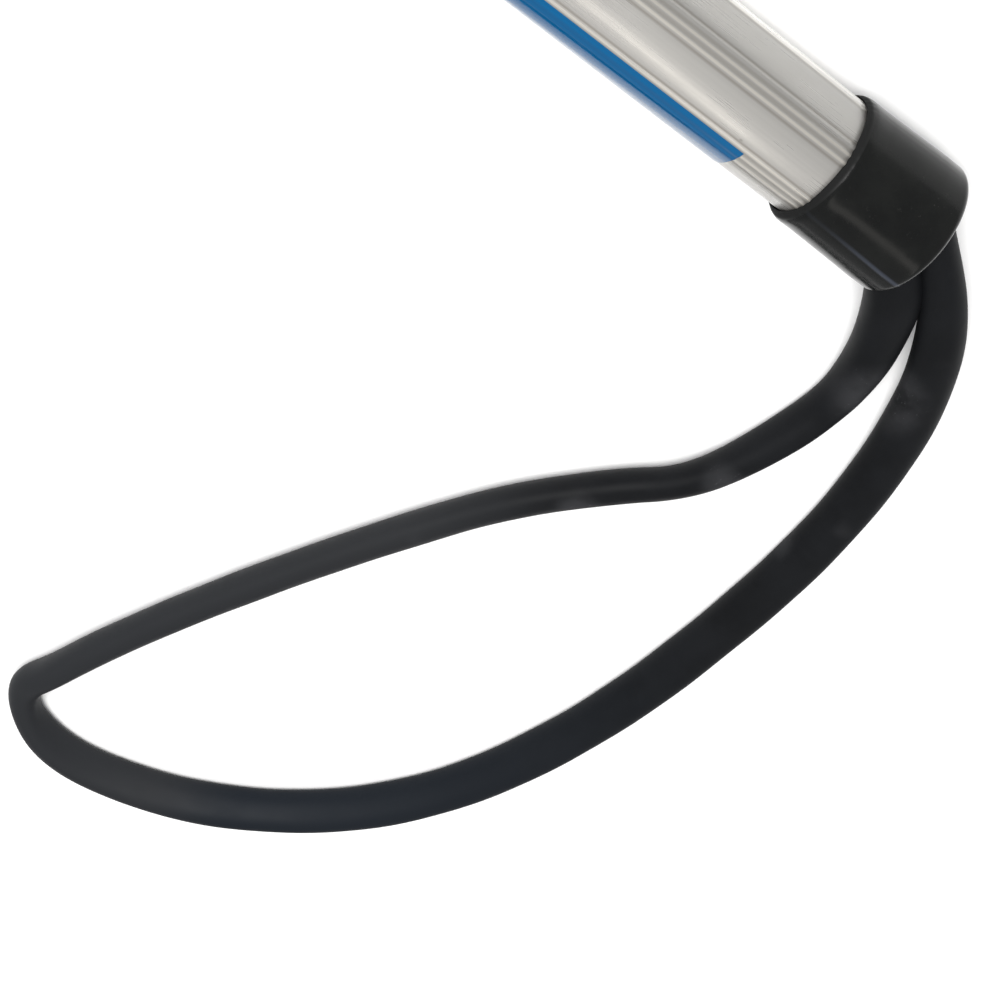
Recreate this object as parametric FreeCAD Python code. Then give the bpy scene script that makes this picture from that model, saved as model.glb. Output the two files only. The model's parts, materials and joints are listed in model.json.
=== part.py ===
import FreeCAD, Part
import math
import os

# Telescopic golf ball retriever, collapsed, lying on the floor.
# Millimetres. X runs from the handle cap to the ball cup, Z is up, the floor is Z = 0.
# The functions measure X from the cap's outer end; publish() then centres the object.

V = FreeCAD.Vector

# Pole
AXIS_Z = 14.6            # pole axis above the floor: the cap and the lock ring rest on it
PIVOT_X = 716.0          # tilt bolt of the head
CUP_X = 754.4            # ball cup centre
OVERALL = 780.0          # cap end to cup rim
RUN = 0.08               # radial running clearance of the sliding joints
BOLT_RUN = 0.05          # radial running clearance of the small pivots

# Handle tube: one-inch ribbed aluminium extrusion
HANDLE_R, HANDLE_BORE = 12.7, 11.3
HANDLE_X = (2.5, 602.5)
RIB_SETS, RIBS_PER_SET = 6, 3
RIB_START, RIB_PITCH = 10.6, 7.7     # degrees, from +Y towards +Z
RIB_R, RIB_CENTRE_R = 0.45, 12.45
STRIPE_X = (42.6, 572.0)
STRIPE_ANGLES = (3, 75)              # degrees, from +Y towards +Z
FILM_T, FILM_EASE = 0.12, 0.005
FILM_RISE, FILM_SPREAD = 0.25, 2.9   # height and half-width in degrees of the film over a rib

# End cap and the strap's anchor
CAP_R, CAP_WAIST_R, CAP_LIP_R = 14.6, 13.95, 14.05
CAP_LENGTH, CAP_WALL = 27.0, 2.5
CAP_LIP = 2.4                          # length of the mouth's rounded lip
CAP_BORE = 12.95
CAP_SLOT = (24.0, 11.6)              # opening for the two strap ends, width and height
EXIT_ROOM = 0.3                        # between the strap and the slot's edge, where it bends out
STRAP_D = 9.5
STRAP_Y = 5.3                        # each strap end off the axis
PLUG_X = (9.0, 19.0)
PIN_X, PIN_R, PIN_HALF = 14.0, 1.5, 12.6

# Strap route: centreline of the rubber tubing, both ends in the plug.
STRAP_ROUTE = (
    (17, 5.3, 14.6), (2.2, 5.3, 14.6), (-6.6, 12.5, 13.4), (-15.2, 23.1, 9.6), (-21.7, 35, 6),
    (-24.9, 49.2, 4.8), (-22.7, 68.9, 4.8), (-18, 85.6, 4.8), (-6.9, 97.7, 4.8), (7, 117, 4.8),
    (17.9, 140, 4.8), (29, 166.5, 4.8), (39.1, 194, 4.8), (46, 216, 4.8), (50, 231, 4.9),
    (53.4, 245.4, 5.2), (46.3, 254.4, 5.2), (33.8, 259.6, 5), (19, 258.6, 4.8), (-1.4, 252, 4.8),
    (-20.5, 239.3, 4.8), (-35.8, 222, 4.8), (-47.2, 199, 4.8), (-53.5, 171.8, 4.8),
    (-56, 143.5, 4.8), (-55.3, 115.2, 4.8), (-53.4, 90.1, 4.8), (-49.7, 68.1, 4.8),
    (-44, 49, 5.2), (-36.5, 33, 7.2), (-27.9, 20.1, 9.8), (-17.9, 9.2, 12.2), (-7.8, 0.3, 13.8),
    (1.6, -5.3, 14.6), (17, -5.3, 14.6),
)
BEND_SHARE = 0.45                    # part of the shorter run that each bend takes up

# Middle and front sections
MIDDLE_R, MIDDLE_BORE = 10.9, 9.7
MIDDLE_X = (36.0, 650.0)
FRONT_R, FRONT_BORE = 9.3, 8.2
FRONT_X = (60.0, 690.0)

# Collet sleeves and twist rings: (body start, nose start, nose end, ring end)
REAR_COLLAR = (576.0, 605.0, 622.0, 630.0)
REAR_SLEEVE_R, REAR_NOSE_R, REAR_RING_R = 14.4, 12.6, 14.6
FRONT_COLLAR = (633.0, 653.0, 669.0, 677.0)
FRONT_SLEEVE_R, FRONT_NOSE_R, FRONT_RING_R = 12.7, 11.0, 12.9
COLLAR_GAP = 0.3                     # ring to sleeve, axially
RING_PASS = 0.3                      # ring to inner tube, radially
COLLET_SLOT = 1.2
FLUTE_R, FLUTE_DEPTH = 1.1, 0.45
SLEEVE_RIVET_R, RIVET_HEAD = 1.6, 0.5

# Neck fork, bolt and wing nut
FORK_IN, FORK_OUT, FORK_R = 3.5, 6.5, 6.5
NECK_COLLAR_X = 695.0
BOLT_R, BOLT_HEAD_R, BOLT_HEAD = 2.45, 4.6, 3.5
BOLT_END_Y = -13.5
WASHER_R, WASHER_T = 5.0, 1.0
NUT_HUB_R, NUT_END_Y, WING_T = 4.2, -12.0, 1.8
WING_TURN = 35.0

# Ball cup for a 42.67 mm golf ball
CUP_Z, CUP_IN, CUP_OUT = 25.0, 22.8, 24.8
RIM_Z, RIM_R, RIM_H = 38.0, 25.6, 3.0
FOOT_R, FOOT_H = 11.0, 3.0
DRAIN_ANGLES = (0, 40, 80, 120, -40, -80, -120)
DRAIN_W, DRAIN_Z = 5.0, (9.0, 19.0)
FLANGE_R = 26.8
LUG_HALF = 3.4
FLANGE_RIVET_Y, FLANGE_RIVET_R = 7.0, 1.5

# Spring gates on the cup's rim
HINGE_Y, HINGE_Z = 24.2, 41.5
GATE_HALF, GATE_TIP_Y, GATE_T = 6.0, 13.7, 1.6
BARREL_R, BARREL_END = 2.0, 2.6
EAR_X, EAR_Y, EAR_R = (6.3, 9.0), (22.0, 26.7), 2.5
GATE_PIN_R, GATE_PIN_HALF = 1.0, 9.5
WINDOW_Z = 29.8
SPRING_R, SPRING_WIRE, SPRING_X, SPRING_TURNS = 1.45, 0.22, (3.0, 5.85), 4.25
SPRING_LEG = 5.0


def rod(x0, x1, r, y=0.0, z=AXIS_Z):
    """Round bar along X."""
    return Part.makeCylinder(r, x1 - x0, V(x0, y, z), V(1, 0, 0))


def tube(x0, x1, outer, inner):
    return rod(x0, x1, outer).cut(rod(x0, x1, inner))


def cross_rod(x, y0, y1, r, z=AXIS_Z):
    """Round bar along Y."""
    return Part.makeCylinder(r, y1 - y0, V(x, y0, z), V(0, 1, 0))


def post(x, y, z0, z1, r):
    """Round bar along Z."""
    return Part.makeCylinder(r, z1 - z0, V(x, y, z0))


def block(x, y, z):
    """Box from three (low, high) pairs."""
    return Part.makeBox(x[1] - x[0], y[1] - y[0], z[1] - z[0], V(x[0], y[0], z[0]))


def ball(r):
    """Sphere about the ball cup's centre."""
    return Part.makeSphere(r, V(CUP_X, 0, CUP_Z))


def lathe(profile):
    """Solid turned about the pole axis from (x, radius) points."""
    points = [V(x, 0, AXIS_Z + r) for x, r in profile]
    face = Part.Face(Part.makePolygon(points + points[:1]))
    return face.revolve(V(0, 0, AXIS_Z), V(1, 0, 0), 360)


def around_axis(shape, degrees):
    turned = shape.copy()
    turned.rotate(V(0, 0, AXIS_Z), V(1, 0, 0), degrees)
    return turned


def mirrored(shape):
    return shape.mirror(V(0, 0, 0), V(0, 1, 0))


def both_sides(shape):
    return Part.makeCompound([shape, mirrored(shape)])


def round_rims(shape, radius, wanted):
    """Fillet the circular edges that wanted(centre_x, edge_radius) picks."""
    picked = [e for e in shape.Edges
              if isinstance(e.Curve, Part.Circle) and wanted(e.Curve.Center.x, e.Curve.Radius)]
    return shape.makeFillet(radius, picked)


# Handle ---------------------------------------------------------------------------------

def handle_tube():
    shape = rod(*HANDLE_X, HANDLE_R)
    middle_rib = (RIBS_PER_SET - 1) / 2
    for rib_set in range(RIB_SETS):
        for rib in range(RIBS_PER_SET):
            angle = math.radians(RIB_START + rib_set * 360 / RIB_SETS
                                 + (rib - middle_rib) * RIB_PITCH)
            shape = shape.fuse(rod(*HANDLE_X, RIB_R, RIB_CENTRE_R * math.cos(angle),
                                   AXIS_Z + RIB_CENTRE_R * math.sin(angle)))
    return shape.cut(rod(*HANDLE_X, HANDLE_BORE))


def film_radius(degrees):
    """Inside of the blue film: on the tube between its ribs, raised over each rib."""
    step = 360 / RIB_SETS
    from_set = (degrees - RIB_START + step / 2) % step - step / 2
    from_rib = min(abs(from_set), abs(abs(from_set) - RIB_PITCH))
    return HANDLE_R + FILM_EASE + FILM_RISE * max(0.0, 1 - from_rib / FILM_SPREAD)


def blue_stripe():
    """Coloured film along one side of the handle tube, pressed down over its ribs."""
    start, end = STRIPE_ANGLES
    inside = [(film_radius(a), math.radians(a)) for a in range(start, end + 1)]
    outside = [(r + FILM_T, a) for r, a in reversed(inside)]
    points = [V(STRIPE_X[0], r * math.cos(a), AXIS_Z + r * math.sin(a)) for r, a in inside + outside]
    face = Part.Face(Part.makePolygon(points + points[:1]))
    return face.extrude(V(STRIPE_X[1] - STRIPE_X[0], 0, 0))


def end_cap():
    """Soft vinyl cap: waisted outside, with a rounded lip at the mouth, slotted for the strap."""
    lip = CAP_LENGTH - CAP_LIP
    shape = lathe([(0, 0), (0, CAP_R), (CAP_WALL, CAP_R), (21, CAP_WAIST_R),
                   (lip, CAP_LIP_R), (lip + CAP_LIP / 2, CAP_LIP_R - 0.2),
                   (CAP_LENGTH - 0.4, CAP_LIP_R - 0.5), (CAP_LENGTH, CAP_LIP_R - 0.8),
                   (CAP_LENGTH, CAP_BORE), (CAP_WALL, CAP_BORE), (CAP_WALL, 0)])
    shape = round_rims(shape, 2.2, lambda x, r: x < 0.01 and r > CAP_BORE)
    width, height = CAP_SLOT
    half = (width - height) / 2
    slot = block((-1, CAP_WALL + 1), (-half, half), (AXIS_Z - height / 2, AXIS_Z + height / 2))
    for y in (-half, half):
        slot = slot.fuse(rod(-1, CAP_WALL + 1, height / 2, y))
    return shape.cut(slot).cut(strap_tube(strap_edges()[0][:4], STRAP_D / 2 + EXIT_ROOM))


def anchor_plug():
    shape = rod(*PLUG_X, HANDLE_BORE)
    for y in (-STRAP_Y, STRAP_Y):
        shape = shape.cut(rod(*PLUG_X, STRAP_D / 2, y))
    return shape


def anchor_pin():
    return cross_rod(PIN_X, -PIN_HALF, PIN_HALF, PIN_R)


def strap_edges():
    """Straight runs joined by tangent arcs."""
    points = [V(*p) for p in STRAP_ROUTE]
    edges, radii, here = [], [], points[0]
    for before, corner, after in zip(points, points[1:], points[2:]):
        back, ahead = before - corner, after - corner
        reach = BEND_SHARE * min(back.Length, ahead.Length)
        half_turn = (math.pi - back.getAngle(ahead)) / 2
        radius = reach / math.tan(half_turn)
        back.normalize()
        ahead.normalize()
        bisector = back + ahead
        bisector.normalize()
        entry, leave = corner + back * reach, corner + ahead * reach
        nearest = corner + bisector * (radius / math.cos(half_turn) - radius)
        edges += [Part.LineSegment(here, entry).toShape(),
                  Part.Arc(entry, nearest, leave).toShape()]
        radii.append(radius)
        here = leave
    edges.append(Part.LineSegment(here, points[-1]).toShape())
    return edges, radii


def strap_tube(edges, radius):
    start = V(*STRAP_ROUTE[0])
    section = Part.Wire(Part.makeCircle(radius, start, V(*STRAP_ROUTE[1]) - start))
    return Part.Wire(edges).makePipeShell([section], True, False)


def wrist_strap():
    edges, radii = strap_edges()
    path = Part.Wire(edges)
    shape = strap_tube(edges, STRAP_D / 2)
    print("strap bend radii", [round(r, 1) for r in radii])
    print("strap length %.1f, volume %.0f, section x length %.0f"
          % (path.Length, shape.Volume, math.pi * STRAP_D ** 2 / 4 * path.Length))
    return shape


# Collars --------------------------------------------------------------------------------

def collet_sleeve(collar, tube_end, tube_r, inner_r, sleeve_r, nose_r):
    """Sleeve over a tube's end with a slotted nose that closes on the next tube."""
    start, nose, end, _ = collar
    bore = inner_r + RUN
    shape = lathe([(start, tube_r), (start, sleeve_r), (nose, sleeve_r), (nose, nose_r),
                   (end, nose_r), (end, bore), (tube_end, bore), (tube_end, tube_r)])
    shape = round_rims(shape, 0.6, lambda x, r: r > sleeve_r - 0.01 and x < start + 0.01)
    cutter = block((nose + 4, end + 1), (-sleeve_r, sleeve_r),
                   (AXIS_Z - COLLET_SLOT / 2, AXIS_Z + COLLET_SLOT / 2))
    for degrees in (45, 135):
        shape = shape.cut(around_axis(cutter, degrees))
    return shape


def sleeve_rivet(collar, bore_r, sleeve_r):
    """Blind rivet through sleeve and tube on the +Y side, flush with the tube's bore."""
    x = (collar[0] + collar[1]) / 2
    top = sleeve_r + RIVET_HEAD
    shank = cross_rod(x, 0, top, SLEEVE_RIVET_R).cut(rod(*collar[:2], bore_r))
    head = cross_rod(x, 0, top, SLEEVE_RIVET_R + 0.9).cut(rod(*collar[:2], sleeve_r))
    return shank.fuse(head)


def lock_ring(collar, nose_r, inner_r, ring_r, flutes):
    """Twist ring on the sleeve's nose, with grip flutes."""
    _, nose, end, front = collar
    start, step = nose + COLLAR_GAP, end + COLLAR_GAP
    shape = lathe([(start, nose_r + RUN), (start, ring_r), (front, ring_r),
                   (front, inner_r + RING_PASS), (step, inner_r + RING_PASS),
                   (step, nose_r + RUN)])
    shape = round_rims(shape, 0.7, lambda x, r: r > ring_r - 0.01)
    flute = rod(start + 2.5, front - 2.5, FLUTE_R, 0, AXIS_Z - ring_r + FLUTE_DEPTH - FLUTE_R)
    pitch = 360 / flutes
    for i in range(flutes):
        shape = shape.cut(around_axis(flute, (i + 0.5) * pitch))
    return shape


# Inner sections -------------------------------------------------------------------------

def guide_bush(tube_start, outer_bore, inner_bore, hole_r):
    """Bush on a tube's rear end that slides in the larger tube."""
    flange, spigot = 8.0, 11.0
    shape = rod(tube_start - flange, tube_start, outer_bore - RUN)
    shape = shape.fuse(rod(tube_start, tube_start + spigot, inner_bore))
    return shape.cut(rod(tube_start - flange, tube_start + spigot, hole_r))


def neck():
    """Plug in the front tube that ends in the fork for the head."""
    tube_end = FRONT_X[1]
    shape = rod(tube_end - 14, tube_end, FRONT_BORE)
    shape = shape.fuse(rod(tube_end, NECK_COLLAR_X, FRONT_R))
    heights = (AXIS_Z - FORK_R, AXIS_Z + FORK_R)
    shape = shape.fuse(block((NECK_COLLAR_X, NECK_COLLAR_X + 5), (-FORK_OUT, FORK_OUT), heights))
    for low, high in ((-FORK_OUT, -FORK_IN), (FORK_IN, FORK_OUT)):
        shape = shape.fuse(block((NECK_COLLAR_X, PIVOT_X), (low, high), heights))
        shape = shape.fuse(cross_rod(PIVOT_X, low, high, FORK_R))
    return shape.cut(cross_rod(PIVOT_X, -FORK_OUT, FORK_OUT, BOLT_R + BOLT_RUN))


def neck_pin():
    """Rivet through the front tube and the neck's plug."""
    x = FRONT_X[1] - 7
    top = FRONT_R + RIVET_HEAD
    heads = cross_rod(x, -top, top, PIN_R + 0.8).cut(rod(*FRONT_X, FRONT_R))
    return heads.fuse(cross_rod(x, -top, top, PIN_R))


def tilt_bolt():
    under_head = FORK_OUT + WASHER_T
    corners = [V(PIVOT_X + BOLT_HEAD_R * math.cos(math.radians(60 * i)), under_head,
                 AXIS_Z + BOLT_HEAD_R * math.sin(math.radians(60 * i))) for i in range(7)]
    head = Part.Face(Part.makePolygon(corners)).extrude(V(0, BOLT_HEAD, 0))
    return head.fuse(cross_rod(PIVOT_X, BOLT_END_Y, under_head, BOLT_R))


def tilt_washers():
    washer = cross_rod(PIVOT_X, FORK_OUT, FORK_OUT + WASHER_T, WASHER_R)
    return both_sides(washer.cut(cross_rod(PIVOT_X, FORK_OUT, FORK_OUT + WASHER_T,
                                           BOLT_R + BOLT_RUN)))


def wing_nut():
    seat = -FORK_OUT - WASHER_T - BOLT_RUN
    shape = cross_rod(PIVOT_X, NUT_END_Y, seat, NUT_HUB_R)
    outline = [(2.5, seat - 0.8), (6.5, seat - 2), (10.6, seat - 7), (10.2, seat - 8.4),
               (8.8, seat - 8.6), (6, seat - 7), (2.5, NUT_END_Y + 0.4)]
    for side in (-1, 1):
        points = [V(PIVOT_X + side * r, y, AXIS_Z - WING_T / 2) for r, y in outline]
        face = Part.Face(Part.makePolygon(points + points[:1]))
        shape = shape.fuse(face.extrude(V(0, 0, WING_T)))
    shape = shape.cut(cross_rod(PIVOT_X, BOLT_END_Y, seat, BOLT_R + BOLT_RUN))
    shape.rotate(V(PIVOT_X, 0, AXIS_Z), V(0, 1, 0), WING_TURN)
    return shape


# Head -----------------------------------------------------------------------------------

def drain_slot(degrees):
    low, high = DRAIN_Z
    reach = CUP_OUT + 2
    cutter = block((CUP_X + 8, CUP_X + reach), (-DRAIN_W / 2, DRAIN_W / 2), (low, high))
    for z in (low, high):
        cutter = cutter.fuse(Part.makeCylinder(DRAIN_W / 2, reach - 8, V(CUP_X + 8, 0, z),
                                               V(1, 0, 0)))
    cutter.rotate(V(CUP_X, 0, 0), V(0, 0, 1), degrees)
    return cutter


def hinge_ears():
    ears = []
    for low, high in (EAR_X, (-EAR_X[1], -EAR_X[0])):
        x = (CUP_X + low, CUP_X + high)
        ear = block(x, EAR_Y, (WINDOW_Z, HINGE_Z))
        ears.append(ear.fuse(rod(*x, EAR_R, HINGE_Y, HINGE_Z)))
    return ears


def flange_rivet_cores():
    return [rod(CUP_X - 32, CUP_X - 12, FLANGE_RIVET_R, y) for y in (-FLANGE_RIVET_Y, FLANGE_RIVET_Y)]


def ball_cup():
    """Bowl that holds one ball, with a flat foot, drain slots, and ears for the gates."""
    shape = ball(CUP_OUT).cut(block((CUP_X - 30, CUP_X + 30), (-30, 30), (CUP_Z, CUP_Z + 30)))
    shape = shape.fuse(post(CUP_X, 0, CUP_Z, RIM_Z, CUP_OUT))
    shape = shape.fuse(post(CUP_X, 0, RIM_Z - RIM_H, RIM_Z, RIM_R))
    shape = shape.fuse(post(CUP_X, 0, 0, FOOT_H, FOOT_R))
    ears = hinge_ears()
    for ear in ears + [mirrored(e) for e in ears]:
        shape = shape.fuse(ear)
    shape = shape.cut(ball(CUP_IN)).cut(post(CUP_X, 0, CUP_Z, RIM_Z + 10, CUP_IN))
    window = block((CUP_X - EAR_X[0], CUP_X + EAR_X[0]), (CUP_IN - 4, RIM_R + 3), (WINDOW_Z, 46))
    shape = shape.cut(window).cut(mirrored(window))
    for degrees in DRAIN_ANGLES:
        shape = shape.cut(drain_slot(degrees))
    for y in (-HINGE_Y, HINGE_Y):
        shape = shape.cut(rod(CUP_X - 12, CUP_X + 12, GATE_PIN_R, y, HINGE_Z))
    for core in flange_rivet_cores():
        shape = shape.cut(core)
    return shape


def head_bracket():
    """Curved flange riveted to the cup, with the lug that sits in the fork."""
    flange = ball(FLANGE_R).common(block((CUP_X - 30, CUP_X - 16), (-10.5, 10.5), (6, 23.5)))
    lug = block((PIVOT_X, CUP_X - 18), (-LUG_HALF, LUG_HALF), (AXIS_Z - FORK_R, AXIS_Z + FORK_R))
    lug = lug.fuse(cross_rod(PIVOT_X, -LUG_HALF, LUG_HALF, FORK_R))
    shape = flange.fuse(lug).cut(ball(CUP_OUT))
    shape = shape.cut(cross_rod(PIVOT_X, -LUG_HALF, LUG_HALF, BOLT_R + BOLT_RUN))
    for core in flange_rivet_cores():
        shape = shape.cut(core)
    return shape


def bracket_rivets():
    skin = ball(FLANGE_R + 0.6).cut(ball(CUP_IN))
    return Part.makeCompound([core.common(skin) for core in flange_rivet_cores()])


def gate_pins():
    return both_sides(rod(CUP_X - GATE_PIN_HALF, CUP_X + GATE_PIN_HALF, GATE_PIN_R,
                          HINGE_Y, HINGE_Z))


def gate():
    """Paddle on the +Y side of the rim."""
    heights = (HINGE_Z - GATE_T / 2, HINGE_Z + GATE_T / 2)
    root_y = HINGE_Y - BARREL_R - 0.4
    barrel_x = (CUP_X - GATE_HALF, CUP_X + BARREL_END)
    shape = block((CUP_X - GATE_HALF, CUP_X + GATE_HALF), (GATE_TIP_Y, root_y), heights)
    tips = [e for e in shape.Edges if abs(e.CenterOfMass.y - GATE_TIP_Y) < 0.01
            and abs(e.CenterOfMass.z - HINGE_Z) < 0.01]
    shape = shape.makeFillet(2.5, tips)
    shape = shape.fuse(block(barrel_x, (root_y, HINGE_Y), heights))
    shape = shape.fuse(rod(*barrel_x, BARREL_R, HINGE_Y, HINGE_Z))
    return shape.cut(rod(*barrel_x, GATE_PIN_R + BOLT_RUN, HINGE_Y, HINGE_Z))


def gate_spring():
    """Torsion spring beside the +Y gate's barrel: one leg on the gate, one down the cup."""
    length = SPRING_X[1] - SPRING_X[0]
    helix = Part.makeHelix(length / SPRING_TURNS, length, SPRING_R, 0, True)
    section = Part.Wire(Part.makeCircle(SPRING_WIRE, V(SPRING_R, 0, 0), V(0, 1, 0)))
    coil = Part.Wire(helix).makePipeShell([section], True, True)
    # local x, y, z of the coil lie along the object's Z, -Y and X
    place = FreeCAD.Matrix(0, 0, 1, CUP_X + SPRING_X[0],
                           0, -1, 0, HINGE_Y,
                           1, 0, 0, HINGE_Z, 0, 0, 0, 1)
    coil.transformShape(place, True)
    top = V(CUP_X + SPRING_X[0], HINGE_Y, HINGE_Z + SPRING_R)
    outer = V(CUP_X + SPRING_X[1], HINGE_Y + SPRING_R, HINGE_Z)
    legs = [Part.makeCylinder(SPRING_WIRE, SPRING_LEG, top, V(0, -1, 0)),
            Part.makeCylinder(SPRING_WIRE, SPRING_LEG, outer, V(0, 0, -1))]
    return coil.fuse(legs)


def publish(name, shape):
    moved = shape.copy()
    moved.translate(V(-OVERALL / 2, 0, 0))
    moved.exportStep("parts/%s.step" % name)
    box = moved.BoundBox
    print("%-20s solids %d valid %s x %.2f..%.2f y %.2f..%.2f z %.2f..%.2f"
          % (name, len(moved.Solids), moved.isValid(), box.XMin, box.XMax,
             box.YMin, box.YMax, box.ZMin, box.ZMax))


def main():
    os.makedirs("parts", exist_ok=True)
    handle = handle_tube()
    pin = anchor_pin()
    rear_sleeve = collet_sleeve(REAR_COLLAR, HANDLE_X[1], CAP_BORE, MIDDLE_R,
                                REAR_SLEEVE_R, REAR_NOSE_R)
    rear_rivets = both_sides(sleeve_rivet(REAR_COLLAR, HANDLE_BORE, REAR_SLEEVE_R))
    front_sleeve = collet_sleeve(FRONT_COLLAR, MIDDLE_X[1], MIDDLE_R, FRONT_R,
                                 FRONT_SLEEVE_R, FRONT_NOSE_R)
    front_rivets = both_sides(sleeve_rivet(FRONT_COLLAR, MIDDLE_BORE, FRONT_SLEEVE_R))
    middle = tube(*MIDDLE_X, MIDDLE_R, MIDDLE_BORE)
    front = tube(*FRONT_X, FRONT_R, FRONT_BORE)
    cross = neck_pin()
    left_gate, left_spring = gate(), gate_spring()
    publish("handle_tube", handle.cut(pin).cut(rear_rivets))
    publish("blue_stripe", blue_stripe())
    publish("end_cap", end_cap())
    publish("anchor_plug", anchor_plug().cut(pin))
    publish("anchor_pin", pin)
    publish("wrist_strap", wrist_strap())
    publish("rear_sleeve", rear_sleeve.cut(rear_rivets))
    publish("rear_sleeve_rivets", rear_rivets)
    publish("rear_lock_ring", lock_ring(REAR_COLLAR, REAR_NOSE_R, MIDDLE_R, REAR_RING_R, 20))
    publish("middle_tube", middle.cut(front_rivets))
    publish("middle_guide", guide_bush(MIDDLE_X[0], HANDLE_BORE, MIDDLE_BORE, 3.0))
    publish("front_sleeve", front_sleeve.cut(front_rivets))
    publish("front_sleeve_rivets", front_rivets)
    publish("front_lock_ring", lock_ring(FRONT_COLLAR, FRONT_NOSE_R, FRONT_R, FRONT_RING_R, 18))
    publish("front_tube", front.cut(cross))
    publish("front_guide", guide_bush(FRONT_X[0], MIDDLE_BORE, FRONT_BORE, 2.5))
    publish("neck", neck().cut(cross))
    publish("neck_pin", cross)
    publish("tilt_bolt", tilt_bolt())
    publish("tilt_washers", tilt_washers())
    publish("wing_nut", wing_nut())
    publish("ball_cup", ball_cup())
    publish("head_bracket", head_bracket())
    publish("bracket_rivets", bracket_rivets())
    publish("gate_pins", gate_pins())
    publish("gate_left", left_gate)
    publish("gate_right", mirrored(left_gate))
    publish("gate_spring_left", left_spring)
    publish("gate_spring_right", mirrored(left_spring))


main()
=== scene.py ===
import json
import math

import bpy
import numpy as np
from mathutils import Euler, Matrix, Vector


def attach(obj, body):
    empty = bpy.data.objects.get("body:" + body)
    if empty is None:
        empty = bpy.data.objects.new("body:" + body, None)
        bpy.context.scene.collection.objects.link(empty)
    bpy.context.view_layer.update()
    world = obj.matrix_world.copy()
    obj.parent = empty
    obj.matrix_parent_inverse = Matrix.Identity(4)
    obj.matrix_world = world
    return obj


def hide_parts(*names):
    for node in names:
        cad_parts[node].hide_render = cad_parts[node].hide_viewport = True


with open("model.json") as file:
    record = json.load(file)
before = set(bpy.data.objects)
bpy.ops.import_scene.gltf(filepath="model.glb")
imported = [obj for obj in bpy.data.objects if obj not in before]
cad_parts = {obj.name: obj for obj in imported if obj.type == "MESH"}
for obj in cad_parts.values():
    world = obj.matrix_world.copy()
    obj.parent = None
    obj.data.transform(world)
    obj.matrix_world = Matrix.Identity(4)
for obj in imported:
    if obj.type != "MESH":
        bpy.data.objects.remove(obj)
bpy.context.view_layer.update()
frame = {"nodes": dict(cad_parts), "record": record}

# Metres, in the model's own frame. Lengths along the pole are measured from the cap's outer end.
END_X = -0.390          # the cap's outer end
AXIS_Z = 0.0146         # height of the pole's axis above the floor
MM = 0.001

# The camera: its place from the cap's outer end, its turn about x, y and z in degrees, its lens
# and its sensor's width in millimetres.
CAMERA_PLACE = (0.2236, -0.1868, 0.4049)
CAMERA_TURN = (-42.84, 4.13, -140.27)
CAMERA_LENS, CAMERA_SENSOR = 88.9, 36

STRAP_STEP = 0.001      # between the rings of its mesh
STRAP_AROUND = 48       # points in a ring
STRAP_LYING = 0.0048    # height of the route where it lies on the floor
STRAP_LIFTED = (0.0095, 0.004)  # height where it has left the floor, and over what height it does
STRAP_GAPS = (0.0001, 0.00003)  # its rest height above the floor, and the least height of a point
STRAP_RIPPLE = (0.012, 210, 67)     # share of the radius, and two frequencies in radians a metre
STRAP_ROUTE = (
    (0.017, 0.0053, 0.0146), (0.0022, 0.0053, 0.0146), (-0.0066, 0.0125, 0.0134),
    (-0.0152, 0.0231, 0.0096), (-0.0218, 0.035, 0.006), (-0.0253, 0.0493, 0.0048),
    (-0.0227, 0.0689, 0.0048), (-0.018, 0.0856, 0.0048), (-0.0069, 0.0977, 0.0048),
    (0.007, 0.117, 0.0048), (0.0179, 0.14, 0.0048), (0.029, 0.1665, 0.0048),
    (0.0391, 0.194, 0.0048), (0.046, 0.216, 0.0048), (0.05, 0.231, 0.0049),
    (0.0534, 0.2454, 0.0052), (0.0463, 0.2544, 0.0052), (0.0338, 0.2596, 0.005),
    (0.019, 0.2586, 0.0048), (-0.0014, 0.252, 0.0048), (-0.0205, 0.2393, 0.0048),
    (-0.0358, 0.222, 0.0048), (-0.0472, 0.199, 0.0048), (-0.0535, 0.1718, 0.0048),
    (-0.056, 0.1435, 0.0048), (-0.0553, 0.1152, 0.0048), (-0.0534, 0.0901, 0.0048),
    (-0.0497, 0.0681, 0.0048), (-0.044, 0.049, 0.0052), (-0.0365, 0.033, 0.0072),
    (-0.0279, 0.0201, 0.0098), (-0.0179, 0.0092, 0.0122), (-0.0078, 0.0003, 0.0138),
    (0.0016, -0.0053, 0.0146), (0.017, -0.0053, 0.0146),
)
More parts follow.
